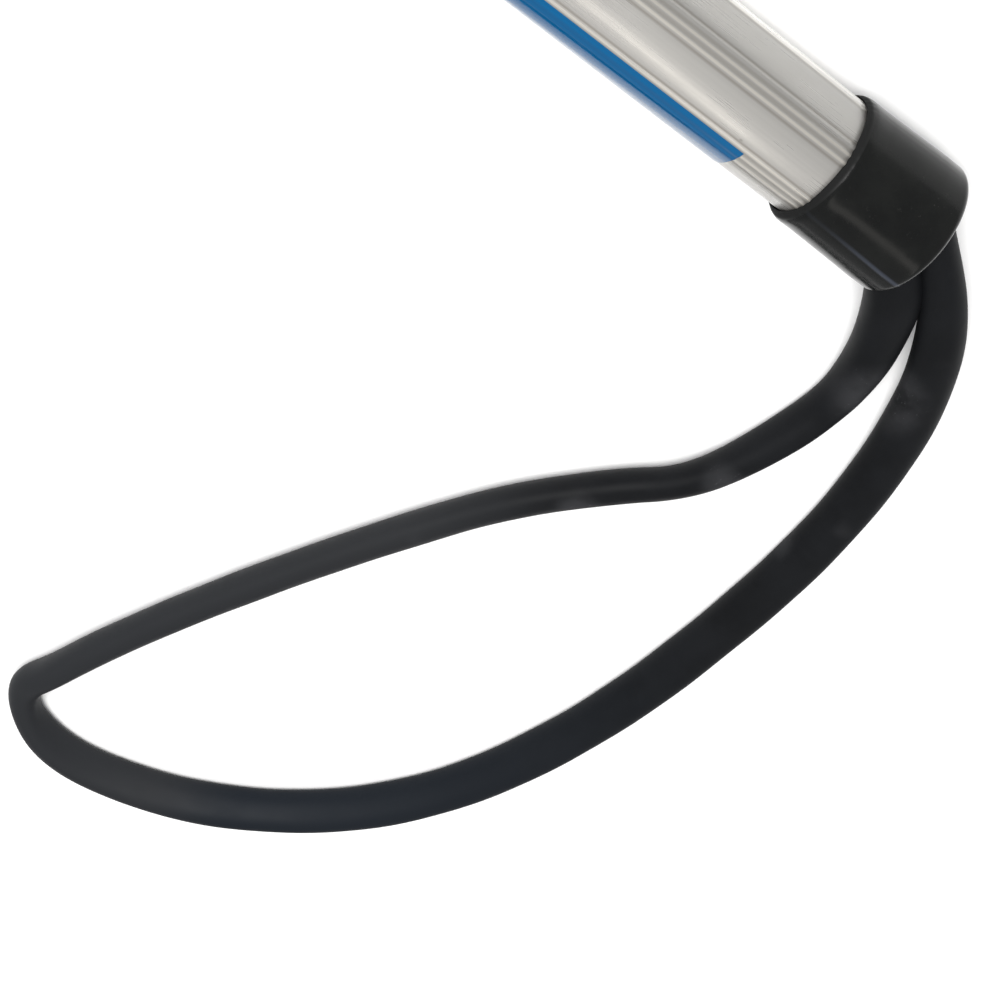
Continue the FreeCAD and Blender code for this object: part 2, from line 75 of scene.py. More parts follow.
# How the hollow tubing is squashed: share of its length, long and short half-width in mm, how
# far the long way leans up from level in degrees, and how square the section is (2 is round).
STRAP_SECTIONS = (
    (0.000, 4.75, 4.75, 4, 2.0), (0.035, 5.9, 4.8, 6, 2.0), (0.050, 5.9, 4.9, 14, 2.0),
    (0.065, 5.5, 4.8, 24, 2.0), (0.105, 4.6, 4.1, 62, 2.0), (0.130, 5.1, 4.2, 100, 2.0),
    (0.150, 5.8, 4.0, 126, 2.1), (0.164, 6.0, 3.8, 131, 2.2), (0.175, 5.6, 3.9, 132, 2.1),
    (0.300, 5.6, 4.0, 128, 2.1), (0.395, 5.6, 4.0, 122, 2.2), (0.416, 5.6, 4.0, 112, 2.3),
    (0.431, 4.2, 3.7, 104, 2.2), (0.444, 4.1, 3.2, 108, 2.3), (0.456, 4.6, 3.1, 118, 2.5),
    (0.480, 5.1, 3.5, 126, 2.6), (0.520, 5.4, 3.7, 130, 2.5), (0.600, 5.5, 3.9, 133, 2.2),
    (0.700, 5.6, 3.9, 142, 2.1), (0.800, 5.6, 3.9, 149, 2.1), (0.850, 5.6, 4.1, 154, 2.0),
    (0.890, 5.6, 4.5, 163, 2.0), (0.925, 5.2, 4.5, 174, 2.0), (0.948, 4.5, 4.3, 182, 2.0),
    (0.968, 4.1, 4.1, 186, 2.0), (1.000, 4.5, 4.5, 186, 2.0),
)
# The creased bend: share of the length, how far its corner stands out, its reach along the strap,
# and the depth over which the outside of the bend takes part.
FOLD = (0.428, 0.0010, 0.0034, 0.004)
# Small moves of the tubing: where its two ends lean on each other outside the cap, and along its
# lower side. Share of the length, reach along it, move in x and y.
LEAN = ((0.042, 0.012, -0.0004, -0.0003), (0.960, 0.012, 0.0006, 0.0005),
        (0.505, 0.030, -0.0003, 0.0005))

# Scuffed spots on the strap: place from the cap's outer end, and radius.
SCUFFS = (((-0.0285, 0.037, 0.009), 0.013), ((-0.004, 0.105, 0.009), 0.007),
          ((-0.022, 0.077, 0.009), 0.007))

HANDLE = (0.0025, 0.6025)       # start and end along the pole
HANDLE_R, HANDLE_BORE = 0.0127, 0.0113
HANDLE_EDGE = 0.0002            # rounding of its ends
# Three ribs to a set: angle of the first set, between sets and between ribs, and their height.
RIB_START, RIB_STEP, RIB_PITCH, RIB_HEIGHT = 10.6, 60.0, 7.7, 0.00010
RIB_COSINE = 2 * math.pi / RIB_PITCH    # from degrees off a set's middle to the ribs' wave

STRIPE = (0.0427, 0.572)        # start and end along the pole
STRIPE_ANGLES = (3.0, 75.0)
# The film's height over the ribs, how far it reaches into the tube, and its height at its edge.
FILM_THICK, FILM_SUNK, FILM_THIN = 0.00004, 0.00001, 0.00002
FILM_SLOPE = 0.00015            # length of the slope at its cut end

# Plain tubes: node, body, start and end along the pole, radius and bore.
PLAIN_TUBES = (("middle_tube", "middle", 0.036, 0.650, 0.0109, 0.0097),
               ("front_tube", "front", 0.060, 0.690, 0.0093, 0.0082))
PLAIN_EDGE = 0.0003

# Rounding of hard edges, by material.
SOFT_EDGES = {"nylon": 0.00015, "black_plastic": 0.0002, "cup_plastic": 0.0002,
              "gate_plastic": 0.0002, "zinc_steel": 0.00008, "stainless": 0.00008}

CAP_SLOT = (0.0122, 0.0058)     # half-width and half-height of the strap's opening
CAP_BORE = 0.01295
CAP_R, CAP_CORNER = 0.0146, 0.0019
CAP_INSIDE = 0.0025             # thickness of its end
CAP_SIDE_RINGS = (0.0025, 0.0243, 31)   # first and last ring of its side, and their number
CAP_RIB_MARK, CAP_SEAM_HEIGHT = 0.00005, 0.00013
CAP_LIP_UNEVEN = 0.00009
# Its waisted side and its lip: place along the pole and radius in millimetres.
CAP_SIDE = ((0.0019, 14.60), (0.006, 14.55), (0.012, 14.32), (0.018, 14.10), (0.0215, 14.01),
            (0.0245, 14.06))
CAP_LIP = ((0.0248, 14.03), (0.0253, 13.93), (0.0258, 13.76), (0.0262, 13.56), (0.0266, 13.32),
           (0.0268, 13.16), (0.0269, 13.05), (0.0268, 12.98), (0.0265, 12.96))
# The moulding line: its angle at a place along the pole, and degrees per metre away from there.
SEAM_TURN, SEAM_FROM, SEAM_SLOPE = 71, 0.005, 60
SEAM_HIGHLIGHT_ANGLE = 70.4               # the angle of the painted highlight on its crest at the cap's outer end

# Lights: place from the cap's outer end, sizes, watts and colour; and the point they aim at.
LIGHTS = {"key_box": ((0.62, -0.50, 1.26), (0.7, 0.7), 29, (1.0, 0.995, 0.985)),
          "strip": ((-0.67, 0.46, 1.26), (0.22, 1.0), 1.5, (1.0, 0.96, 0.90))}
LIGHTS_AIM = (0.02, 0.06, 0.0)
SKY = (0.58, 0.60)              # sky strength at the horizon and overhead
SKY_COLOUR = (0.98, 0.985, 1.0, 1)
FLOOR_HALF = 6


# Camera and strap ------------------------------------------------------------------------

def from_cap(place):
    """A place in the model's frame, from one measured from the cap's outer end."""
    return (END_X + place[0], place[1], place[2])


def make_camera():
    data = bpy.data.cameras.new("camera")
    data.sensor_width = CAMERA_SENSOR
    data.lens = CAMERA_LENS
    data.clip_end = 20
    camera = bpy.data.objects.new("camera", data)
    bpy.context.collection.objects.link(camera)
    camera.location = from_cap(CAMERA_PLACE)
    camera.rotation_euler = Euler([math.radians(a) for a in CAMERA_TURN])
    bpy.context.scene.camera = camera


def link(name, mesh, smooth=True):
    piece = bpy.data.objects.new(name, mesh)
    bpy.context.collection.objects.link(piece)
    mesh.polygons.foreach_set("use_smooth", [smooth] * len(mesh.polygons))
    return piece


def grid(name, rings, closed_rings=False, caps=False):
    """Mesh from rings of equal point counts; the rings themselves may close on each other."""
    rings = np.asarray(rings, float)
    count, around = rings.shape[:2]
    faces = []
    for i in range(count if closed_rings else count - 1):
        a, b = i * around, (i + 1) % count * around
        for j in range(around):
            k = (j + 1) % around
            faces.append((a + j, a + k, b + k, b + j))
    if caps:
        faces.append(tuple(reversed(range(around))))
        faces.append(tuple(range((count - 1) * around, count * around)))
    mesh = bpy.data.meshes.new(name)
    mesh.from_pydata(rings.reshape(-1, 3).tolist(), [], faces)
    mesh.validate()
    mesh.update()
    return mesh


def piece_for(node, suffix, slot, body, rings, **kind):
    """A mesh of rings that stands for a CAD node."""
    name = node + "_" + suffix
    piece = link(name, grid(name, rings, **kind))
    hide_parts(node)
    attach(piece, body)
    return piece


def spline_line(points):
    """The smooth line of one open NURBS spline with these control points."""
    curve = bpy.data.curves.new("strap_route", "CURVE")
    curve.dimensions = "3D"
    curve.resolution_u = 16
    spline = curve.splines.new("NURBS")
    spline.points.add(len(points) - 1)
    for point, place in zip(spline.points, points):
        point.co = (*from_cap(place), 1)
    spline.order_u = 3
    spline.use_endpoint_u = True
    holder = bpy.data.objects.new("strap_route", curve)
    bpy.context.collection.objects.link(holder)
    bpy.context.view_layer.update()
    line = bpy.data.meshes.new_from_object(holder)
    places = np.array([v.co[:] for v in line.vertices])
    bpy.data.objects.remove(holder)
    bpy.data.meshes.remove(line)
    bpy.data.curves.remove(curve)
    return places


def lengths(line):
    return np.r_[0, np.cumsum(np.linalg.norm(np.diff(line, axis=0), axis=1))]


def evenly(line, step):
    """The line's points again, evenly spaced along it."""
    far = lengths(line)
    at = np.linspace(0, far[-1], int(round(far[-1] / step)) + 1)
    return np.stack([np.interp(at, far, line[:, k]) for k in range(3)], axis=1)


def strap_section(share):
    """Half-widths in metres, lean in radians and squareness at each share of the length."""
    table = np.array(STRAP_SECTIONS)
    smooth = [np.interp(share, table[:, 0], table[:, k]) for k in (1, 2, 3, 4)]
    kernel = np.ones(9) / 9
    smooth = [np.convolve(np.pad(s, 4, mode="edge"), kernel, mode="valid") for s in smooth]
    return smooth[0] * MM, smooth[1] * MM, np.radians(smooth[2]), smooth[3]


def rounded(wave, square):
    """Cosine or sine values pushed outwards towards a square with soft corners."""
    return np.sign(wave) * np.abs(wave) ** (2 / square)


def fold_corner(line, far, rings):
    """Moves that draw the outside of the creased bend out to a corner."""
    at, height, reach, depth = FOLD
    middle = int(round(at * (len(line) - 1)))
    outward = line[middle] - (line[middle - 9] + line[middle + 9]) / 2
    outward[2] = 0
    outward /= np.linalg.norm(outward)
    near = np.exp(-0.5 * ((far - far[middle]) / reach) ** 2)
    outside = np.clip((rings - line[:, None, :]) @ outward / depth, 0, 1)
    return (height * near[:, None] * outside)[:, :, None] * outward


def make_strap():
    line = evenly(spline_line(STRAP_ROUTE), STRAP_STEP)
    far = lengths(line)
    share = far / far[-1]
    wide, thin, lean, square = strap_section(share)
    half_height = np.hypot(wide * np.sin(lean), thin * np.cos(lean))
    lifted, fade = STRAP_LIFTED
    rest_gap, least = STRAP_GAPS
    on_floor = np.clip((lifted - line[:, 2]) / fade, 0, 1)
    line[:, 2] += (half_height + rest_gap - STRAP_LYING) * on_floor
    for at, reach, x, y in LEAN:
        line += np.exp(-0.5 * ((share - at) / reach) ** 2)[:, None] * (x, y, 0)
    ahead = np.gradient(line, axis=0)
    ahead /= np.linalg.norm(ahead, axis=1)[:, None]
    level = np.cross((0, 0, 1), ahead)
    level /= np.linalg.norm(level, axis=1)[:, None]
    up = np.cross(ahead, level)
    turn = np.linspace(0, 2 * math.pi, STRAP_AROUND, endpoint=False)
    cos_lean, sin_lean = np.cos(lean)[:, None], np.sin(lean)[:, None]
    long_way = cos_lean * level + sin_lean * up
    short_way = -sin_lean * level + cos_lean * up
    depth, quick, slow = STRAP_RIPPLE
    ripple = 1 + depth * np.sin(far * quick + 1.0) * np.sin(far * slow)
    across = rounded(np.cos(turn)[None, :], square[:, None]) * (wide * ripple)[:, None]
    through = rounded(np.sin(turn)[None, :], square[:, None]) * (thin * ripple)[:, None]
    rings = (line[:, None, :] + across[:, :, None] * long_way[:, None, :]
             + through[:, :, None] * short_way[:, None, :])
    rings += fold_corner(line, far, rings)
    rings[:, :, 2] = np.maximum(rings[:, :, 2], least)
    strap = piece_for("wrist_strap", "rubber", "black_rubber", "handle", rings, caps=True)
    return strap


# Handle ----------------------------------------------------------------------------------

def rib_shape(angle):
    """0 between the sets of ribs and 1 on a crest, for an angle in degrees from +Y."""
    from_set = (angle - RIB_START + RIB_STEP / 2) % RIB_STEP - RIB_STEP / 2
    wave = 0.5 + 0.5 * np.cos(RIB_COSINE * from_set)
    return np.where(np.abs(from_set) < 1.5 * RIB_PITCH, wave, 0.0)


def around(x, radius, angle):
    """Points about the pole axis, angle in degrees from +Y."""
    rad = np.radians(angle)
    return np.stack([np.full_like(rad, END_X + x), radius * np.cos(rad),
                     AXIS_Z + radius * np.sin(rad)], axis=1)


def make_handle():
    angle = np.linspace(0, 360, 1440, endpoint=False)
    outer = HANDLE_R + RIB_HEIGHT * rib_shape(angle)
    inner = np.full_like(angle, HANDLE_BORE)
    start, end = HANDLE
    soft = HANDLE_EDGE
    rings = [around(start, outer - soft, angle), around(start + soft, outer, angle)]
    rings += [around(x, outer, angle) for x in np.linspace(start, end, 9)[1:-1]]
    rings += [around(end - soft, outer, angle), around(end, outer - soft, angle),
              around(end, inner, angle), around(start, inner, angle)]
    return piece_for("handle_tube", "ribbed", "ribbed_aluminium", "handle", rings,
                     closed_rings=True)


def make_stripe():
    """Thin film that follows the tube's ribs, with soft edges."""
    low, high = STRIPE_ANGLES
    angle = np.linspace(low, high, 240)
    edge = np.clip(np.minimum(angle - low, high - angle) / 0.5, 0, 1) ** 0.5
    tube = HANDLE_R + RIB_HEIGHT * rib_shape(angle)
    # the film bridges the ribs' grooves, so it follows them only a little
    outside = HANDLE_R + RIB_HEIGHT * (0.92 + 0.08 * rib_shape(angle)) + FILM_THICK * edge
    outside = np.where(edge < 1, np.minimum(outside, tube + FILM_THIN + 3 * FILM_THICK * edge),
                       outside)
    profile = np.r_[outside, tube[::-1] - FILM_SUNK]
    both = np.r_[angle, angle[::-1]]
    start, end = STRIPE
    places = np.r_[start, start + FILM_SLOPE, np.linspace(start, end, 7)[1:]]
    rings = [around(x, profile, both) for x in places]
    rings[0] = around(start, np.minimum(profile, np.r_[tube, tube[::-1]] + FILM_THIN), both)
    return piece_for("blue_stripe", "film", "blue_film", "handle", rings, caps=True)


def slot_radius(angle, inset=0.0):
    """Distance from the axis to the edge of the cap's rounded slot, by angle in degrees."""
    half_width, half_height = CAP_SLOT[0] + inset, CAP_SLOT[1] + inset
    rad = np.radians(angle)
    c, s = np.abs(np.cos(rad)), np.abs(np.sin(rad))
    centre = half_width - half_height
    flat = half_height / np.maximum(s, 1e-9)
    on_round = centre * c + np.sqrt(np.maximum(half_height ** 2 - (centre * s) ** 2, 0))
    return np.where(flat * c <= centre, flat, on_round)


def ridge(angle, at, half):
    """Smooth ridge of height 1 at an angle, in degrees."""
    return np.exp(-0.5 * ((angle - at) / half) ** 2)


def make_cap():
    """Soft vinyl cap: waisted, with a rounded, slightly uneven lip, a moulding line along one
    side, and faint marks of the tube's ribs where it is stretched over them."""
    angle = np.linspace(0, 360, 1080, endpoint=False)
    rad = np.radians(angle)
    ribs = rib_shape(angle)
    ribs = np.convolve(np.r_[ribs[-15:], ribs, ribs[:15]], np.ones(31) / 31, mode="valid")
    # a little out of round, and fuller on one side
    wave = 0.00010 * np.sin(2 * rad + 0.6) + 0.00005 * np.sin(5 * rad + 2.0)
    wave += 0.0004 * np.maximum(np.cos(rad - 0.44), 0) ** 2
    slot_in, slot_out = slot_radius(angle, 0.0004), slot_radius(angle)
    # end face, from the slot's rounded edge to the corner
    rings = [around(0.0005, slot_out, angle), around(0.0001, slot_radius(angle, 0.00012), angle),
             around(0.0, slot_in, angle)]
    for f in (0.25, 0.5, 0.75):
        rings.append(around(0.0, slot_in * (1 - f) + (CAP_R - CAP_CORNER) * f, angle))
    for turn in np.radians(np.linspace(0, 90, 12)):
        radius = CAP_R - CAP_CORNER * (1 - math.sin(turn))
        rings.append(around(CAP_CORNER * (1 - math.cos(turn)), np.full_like(angle, radius), angle))
    # side, a little waisted
    for x in np.linspace(*CAP_SIDE_RINGS):
        r = np.interp(x, *np.transpose(CAP_SIDE)) * MM
        fade = min(1.0, (x - 0.0020) / 0.003) * min(1.0, (0.0254 - x) / 0.003)
        line = ridge(angle, SEAM_TURN + (x - SEAM_FROM) * SEAM_SLOPE, 1.3)
        line *= np.interp(x, (0.003, 0.024), (1.0, 0.2))
        marks = fade * (CAP_RIB_MARK * ribs + CAP_SEAM_HEIGHT * line)
        rings.append(around(x, r + marks + wave * min(1, x / 0.02) * 0.6, angle))
    # rounded lip, uneven where the ribs press into it, then the bore
    uneven = CAP_LIP_UNEVEN * (np.sin(3 * rad + 1.0) + 0.6 * np.sin(7 * rad + 2.2)
                               - 1.6 * rib_shape(angle))
    for x, r in CAP_LIP:
        radius = np.maximum(r * MM + wave * 0.6 * (r - CAP_LIP[-1][1]), CAP_BORE)
        rings.append(around(x + uneven * min(1, (x - 0.0243) / 0.002), radius, angle))
    rings.append(around(CAP_INSIDE, np.full_like(angle, CAP_BORE), angle))
    rings.append(around(CAP_INSIDE, slot_out, angle))
    return piece_for("end_cap", "vinyl", "black_vinyl", "handle", rings, closed_rings=True)


def plain_tube(node, body, start, end, outer, inner):
    angle = np.linspace(0, 360, 160, endpoint=False)
    one = np.ones_like(angle)
    soft = PLAIN_EDGE
    rings = [around(start, (outer - soft) * one, angle), around(start + soft, outer * one, angle),
             around(end - soft, outer * one, angle), around(end, (outer - soft) * one, angle),
             around(end, inner * one, angle), around(start, inner * one, angle)]
    return piece_for(node, "drawn", "drawn_aluminium", body, rings, closed_rings=True)


# Materials -------------------------------------------------------------------------------

class Finish:
    """A Principled material and short calls to build its nodes."""

    def __init__(self, name, **sockets):
        self.material = bpy.data.materials.new(name)
        self.material.use_nodes = True
        self.tree = self.material.node_tree
        self.shader = self.tree.nodes["Principled BSDF"]
        self.where = self.make("ShaderNodeTexCoord").outputs["Object"]
        self.set(**sockets)

    def set(self, **sockets):
        for name, value in sockets.items():
            self.put(self.shader.inputs[name.replace("_", " ")], value)

    def put(self, socket, value):
        if isinstance(value, bpy.types.NodeSocket):
            self.tree.links.new(value, socket)
        elif hasattr(socket.default_value, "__len__") and len(value) == 3 \
                and len(socket.default_value) == 4:
            socket.default_value = (*value, 1)
        else:
            socket.default_value = value

    def make(self, kind, inputs=None, **settings):
        node = self.tree.nodes.new(kind)
        for name, value in settings.items():
            setattr(node, name, value)
        for name, value in (inputs or {}).items():
            self.put(node.inputs[name], value)
        return node

    def math(self, operation, a, b=0.0):
        return self.make("ShaderNodeMath", {0: a, 1: b}, operation=operation).outputs[0]

    def stretched(self, scale):
        return self.make("ShaderNodeMapping", {"Vector": self.where, "Scale": scale}).outputs[0]

    def noise(self, scale, detail=3.0, roughness=0.5, stretch=(1, 1, 1)):
        node = self.make("ShaderNodeTexNoise", {"Vector": self.stretched(stretch), "Scale": scale,
                                                "Detail": detail, "Roughness": roughness})
        return node.outputs["Fac"]

    def cells(self, scale, stretch=(1, 1, 1)):
        node = self.make("ShaderNodeTexVoronoi",
                         {"Vector": self.stretched(stretch), "Scale": scale})
        return node.outputs["Distance"]

    def times(self, a, b):
        return self.math("MULTIPLY", a, b)

    def range(self, value, low, high, to_low=0.0, to_high=1.0):
        """A smooth step from to_low to to_high as value goes from low to high."""
        node = self.make("ShaderNodeMapRange",
                         {"Value": value, "From Min": low, "From Max": high,
                          "To Min": to_low, "To Max": to_high},
                         interpolation_type="SMOOTHSTEP")
        return node.outputs["Result"]

    def band(self, value, rise, fall, height=1.0):
        """0 before rise, height between rise and fall, and 0 again after fall."""
        return self.times(self.range(value, *rise), self.range(value, *fall, height, 0.0))

    def mix(self, share, a, b):
        node = self.make("ShaderNodeMix", data_type="RGBA")
        self.put(node.inputs[0], share)
        self.put(node.inputs[6], a)
        self.put(node.inputs[7], b)
        return node.outputs[2]

    def bump(self, height, distance, strength, under=None):
        inputs = {"Height": height, "Distance": distance, "Strength": strength}
        if under is not None:
            inputs["Normal"] = under
        return self.make("ShaderNodeBump", inputs).outputs[0]

    def near(self, place, radius):
        """1 at a place on the object, fading to 0 at radius from it."""
        away = self.make("ShaderNodeVectorMath", {0: self.where, 1: place},
                         operation="DISTANCE").outputs["Value"]
        return self.range(away, radius * 0.3, radius, 1.0, 0.0)

    def place(self, axis):
        return self.make("ShaderNodeSeparateXYZ", {0: self.where}).outputs[axis]

    def pole_angle(self):
        """Degrees round the pole from +Y, from -180 to 180."""
        height = self.math("SUBTRACT", self.place("Z"), AXIS_Z)
        return self.math("DEGREES", self.math("ARCTAN2", height, self.place("Y")))

    def from_rib_set(self):
        """Degrees from the middle of the nearest set of ribs, with sign."""
        shifted = self.math("ADD", self.pole_angle(), 360 + RIB_STEP / 2 - RIB_START)
        return self.math("SUBTRACT", self.math("MODULO", shifted, RIB_STEP), RIB_STEP / 2)


def ribbed_aluminium():
    """Extruded tube: painted highlights on the rib crests and painted shade in their grooves, a
    painted shade line beside each set, one rib without the painted highlight, painted shade over
    one side and a painted reflection of the floor below it, fine lines along the tube, and a few
    specks."""
    f = Finish("ribbed_aluminium", Metallic=0.6, Specular_IOR_Level=0.5)
    angle = f.math("MODULO", f.math("ADD", f.pole_angle(), 360), 360)
    off = f.from_rib_set()
    away = f.math("ABSOLUTE", off)
    crest = f.math("COSINE", f.times(off, RIB_COSINE))
    in_set = f.range(away, 11.0, 12.0, 1.0, 0.0)
    # painted shade in the grooves between ribs and painted highlight on their crests, for the light
    # on the ribs' relief
    painted_groove_shade = f.times(in_set, f.range(crest, -0.9, 0.5, 1.0, 0.0))
    painted_rib_highlight = f.times(in_set, f.range(crest, 0.2, 0.9))
    # the rib between about 134° and 148° gets almost none of the painted highlight
    rib_highlight_gap = f.band(angle, (134, 137), (145, 148), 0.95)
    painted_rib_highlight = f.times(painted_rib_highlight, f.math("SUBTRACT", 1.0, rib_highlight_gap))
    # painted shade: a dark line in the valley just outside each set of ribs
    painted_valley_shade = f.band(away, (10.2, 11.6), (11.8, 14.0))
    streak = f.noise(1500, 4, 0.6, (0.004, 1, 1))
    fine = f.noise(5200, 2, 0.6, (0.01, 1, 1))
    cloud = f.noise(90, 4, 0.6, (0.35, 1, 1))
    panel = f.mix(f.range(streak, 0.3, 0.7), (0.455, 0.442, 0.418), (0.490, 0.476, 0.450))
    panel = f.mix(f.range(cloud, 0.35, 0.75, 0.0, 0.5), panel, (0.455, 0.440, 0.412))
    colour = f.mix(f.times(painted_groove_shade, 0.6), panel, (0.330, 0.308, 0.275))
    colour = f.mix(f.times(painted_rib_highlight, 0.9), colour, (0.660, 0.625, 0.560))
    colour = f.mix(f.times(painted_valley_shade, 0.6), colour, (0.250, 0.228, 0.200))
    speck = f.range(f.cells(210, (0.6, 1, 1)), 0.035, 0.085, 1.0, 0.0)
    speck = f.times(speck, f.range(f.noise(85, 1), 0.58, 0.64))
    colour = f.mix(f.times(speck, 0.6), colour, (0.20, 0.18, 0.155))
    smudge = f.range(f.noise(260, 5, 0.75, (0.6, 1, 1)), 0.64, 0.78)
    colour = f.mix(f.times(smudge, 0.06), colour, (0.33, 0.31, 0.28))
    # painted shade: the side from about 94° to 189° round the pole is darkened, most from 142° to
    # 180°
    painted_side_shade = f.band(angle, (94, 142), (180, 189), 0.42)
    colour = f.mix(painted_side_shade, colour, (0.080, 0.082, 0.080))
    # painted reflection: the lower side from about 184° to 211° is made much paler, for the bright
    # floor it faces
    painted_floor_reflection = f.band(angle, (180, 189), (206, 216), 0.5)
    colour = f.mix(painted_floor_reflection, colour, (0.80, 0.80, 0.78))
    rough = f.math("ADD", f.range(fine, 0.3, 0.7, 0.26, 0.32),
                   f.range(cloud, 0.3, 0.7, -0.03, 0.05))
    height = f.math("ADD", f.times(streak, 0.6), f.times(fine, 0.4))
    f.set(Base_Color=colour, Roughness=rough, Normal=f.bump(height, 0.00001, 0.15))
    return f.material


def drawn_aluminium():
    f = Finish("drawn_aluminium", Metallic=1.0)
    streak = f.noise(1800, 4, 0.6, (0.005, 1, 1))
    cloud = f.noise(70, 3, 0.5, (0.3, 1, 1))
    colour = f.mix(f.range(streak, 0.3, 0.7), (0.60, 0.60, 0.59), (0.74, 0.735, 0.72))
    f.set(Base_Color=colour, Roughness=f.range(cloud, 0.3, 0.7, 0.26, 0.38),
          Normal=f.bump(streak, 0.000015, 0.5))
    return f.material


def blue_film():
    f = Finish("blue_film", IOR=1.5, Specular_IOR_Level=0.0, Coat_Weight=1.0,
               Coat_Roughness=0.08, Coat_IOR=1.24)
    off = f.from_rib_set()
    crest = f.math("COSINE", f.times(off, RIB_COSINE))
    in_set = f.range(f.math("ABSOLUTE", off), 11.0, 13.0, 1.0, 0.0)
    # painted shade: the film is darkened a little over the ribs' grooves beneath it
    painted_groove_shade = f.times(in_set, f.range(crest, -0.8, 0.4, 1.0, 0.0))
    streak = f.noise(900, 3, 0.6, (0.006, 1, 1))
    colour = f.mix(f.range(streak, 0.3, 0.7), (0.001, 0.080, 0.208), (0.001, 0.092, 0.234))
    colour = f.mix(f.times(painted_groove_shade, 0.25), colour, (0.001, 0.070, 0.188))
    scuff = f.range(f.noise(420, 4, 0.7, (0.12, 1, 1)), 0.66, 0.78)
    colour = f.mix(f.times(scuff, 0.2), colour, (0.07, 0.20, 0.33))
    f.set(Base_Color=colour, Roughness=f.range(f.noise(160, 3), 0.3, 0.7, 0.30, 0.44),
          Normal=f.bump(f.noise(1400, 2), 0.00002, 0.35))
    return f.material


def black_vinyl():
    f = Finish("black_vinyl", IOR=1.5, Specular_IOR_Level=0.15)
    cloud = f.noise(120, 4, 0.6)
    grain = f.noise(2600, 3, 0.6)
    dust = f.times(f.range(f.noise(900, 5, 0.75), 0.60, 0.74),
                  f.range(f.noise(90, 2), 0.45, 0.65))
    colour = f.mix(f.range(cloud, 0.3, 0.7), (0.0040, 0.0043, 0.0042), (0.0062, 0.0066, 0.0062))
    colour = f.mix(f.times(dust, 0.15), colour, (0.08, 0.078, 0.072))
    along = f.math("SUBTRACT", f.place("X"), END_X)
    # painted highlight: a pale bluish line along the moulding line's crest, fading towards the lip
    at = f.math("ADD", f.times(along, SEAM_SLOPE), SEAM_HIGHLIGHT_ANGLE)
    painted_seam_highlight = f.range(f.math("ABSOLUTE", f.math("SUBTRACT", f.pole_angle(), at)), 0.4, 3.2, 1.0, 0.0)
    painted_seam_highlight = f.times(painted_seam_highlight, f.range(along, 0.003, 0.023, 1.0, 0.12))
    colour = f.mix(f.times(painted_seam_highlight, 0.6), colour, (0.052, 0.060, 0.080))
    rough = f.math("ADD", f.range(cloud, 0.3, 0.7, 0.17, 0.24), f.times(dust, 0.2))
    lip = f.range(along, 0.0250, 0.0262)
    rough = f.math("MAXIMUM", rough, f.times(lip, 0.85))
    # painted sheen: the rough lip's colour is a little paler, standing in for the gloss of the rest
    # of the cap
    colour = f.mix(lip, colour, (0.0070, 0.0072, 0.0072))
    soft = f.bump(f.noise(260, 3, 0.5), 0.00006, 0.3)
    f.set(Base_Color=colour, Roughness=rough, Normal=f.bump(grain, 0.00001, 0.3, soft))
    return f.material


def black_rubber():
    f = Finish("black_rubber", IOR=1.5, Specular_IOR_Level=0.09)
    cloud = f.noise(75, 4, 0.6)
    grain = f.noise(3200, 3, 0.6)
    colour = f.mix(f.range(cloud, 0.3, 0.7), (0.0040, 0.0044, 0.0052), (0.0062, 0.0068, 0.0080))
    across = f.place("Y")
    colour = f.mix(f.range(across, 0.10, 0.24), colour, (0.0085, 0.0110, 0.0150))
    # painted light: the loop is paler where it runs past the cap in x and 0.1 m out in y, for the
    # lit inner facet by the fold
    painted_facet_light = f.times(f.range(f.place("X"), END_X - 0.012, END_X + 0.012),
                    f.range(across, 0.09, 0.14))
    colour = f.mix(f.times(painted_facet_light, 0.85), colour, (0.020, 0.021, 0.023))
    scratch = f.range(f.noise(1100, 5, 0.75, (1, 0.35, 1)), 0.58, 0.74)
    patches = f.range(f.noise(38, 2), 0.60, 0.74)
    for place, radius in SCUFFS:
        patches = f.math("MAXIMUM", patches, f.near(from_cap(place), radius))
    rubbed = f.math("MAXIMUM", scratch, f.range(cloud, 0.2, 0.6, 0.0, 0.25))
    scuff = f.times(rubbed, patches)
    colour = f.mix(f.times(scuff, 0.6), colour, (0.15, 0.15, 0.16))
    rough = f.math("ADD", f.range(cloud, 0.3, 0.7, 0.52, 0.62), f.times(scuff, 0.2))
    soft = f.bump(f.noise(210, 2), 0.00006, 0.35)
    f.set(Base_Color=colour, Roughness=rough, Normal=f.bump(grain, 0.000015, 0.35, soft))
    return f.material


def moulded(name, dark, light, rough, coat=0.0):
    """Injection-moulded plastic with a fine spark texture and faint flow marks."""
    f = Finish(name, IOR=1.5, Coat_Weight=coat, Coat_Roughness=0.25)
    flow = f.noise(55, 4, 0.6)
    grain = f.noise(2400, 3, 0.6)
    rub = f.range(f.noise(500, 5, 0.75, (0.3, 1, 1)), 0.66, 0.78)
    colour = f.mix(f.range(flow, 0.3, 0.7), dark, light)
    pale = tuple(min(1.0, c * 1.6 + 0.04) for c in light)
    colour = f.mix(f.times(rub, 0.3), colour, pale)
    f.set(Base_Color=colour, Roughness=f.range(flow, 0.3, 0.7, rough - 0.06, rough + 0.06),
          Normal=f.bump(grain, 0.00003, 0.5))
    return f.material


def worked_steel(name, dark, light, rough):
    """Plated or drawn steel: brushed marks, faint clouding of the plate."""
    f = Finish(name, Metallic=1.0)
    brush = f.noise(2600, 4, 0.6)
    cloud = f.noise(240, 4, 0.6)
    f.set(Base_Color=f.mix(f.range(cloud, 0.3, 0.7), dark, light),
          Roughness=f.range(brush, 0.3, 0.7, rough - 0.06, rough + 0.06),
          Normal=f.bump(brush, 0.000015, 0.5))
    return f.material


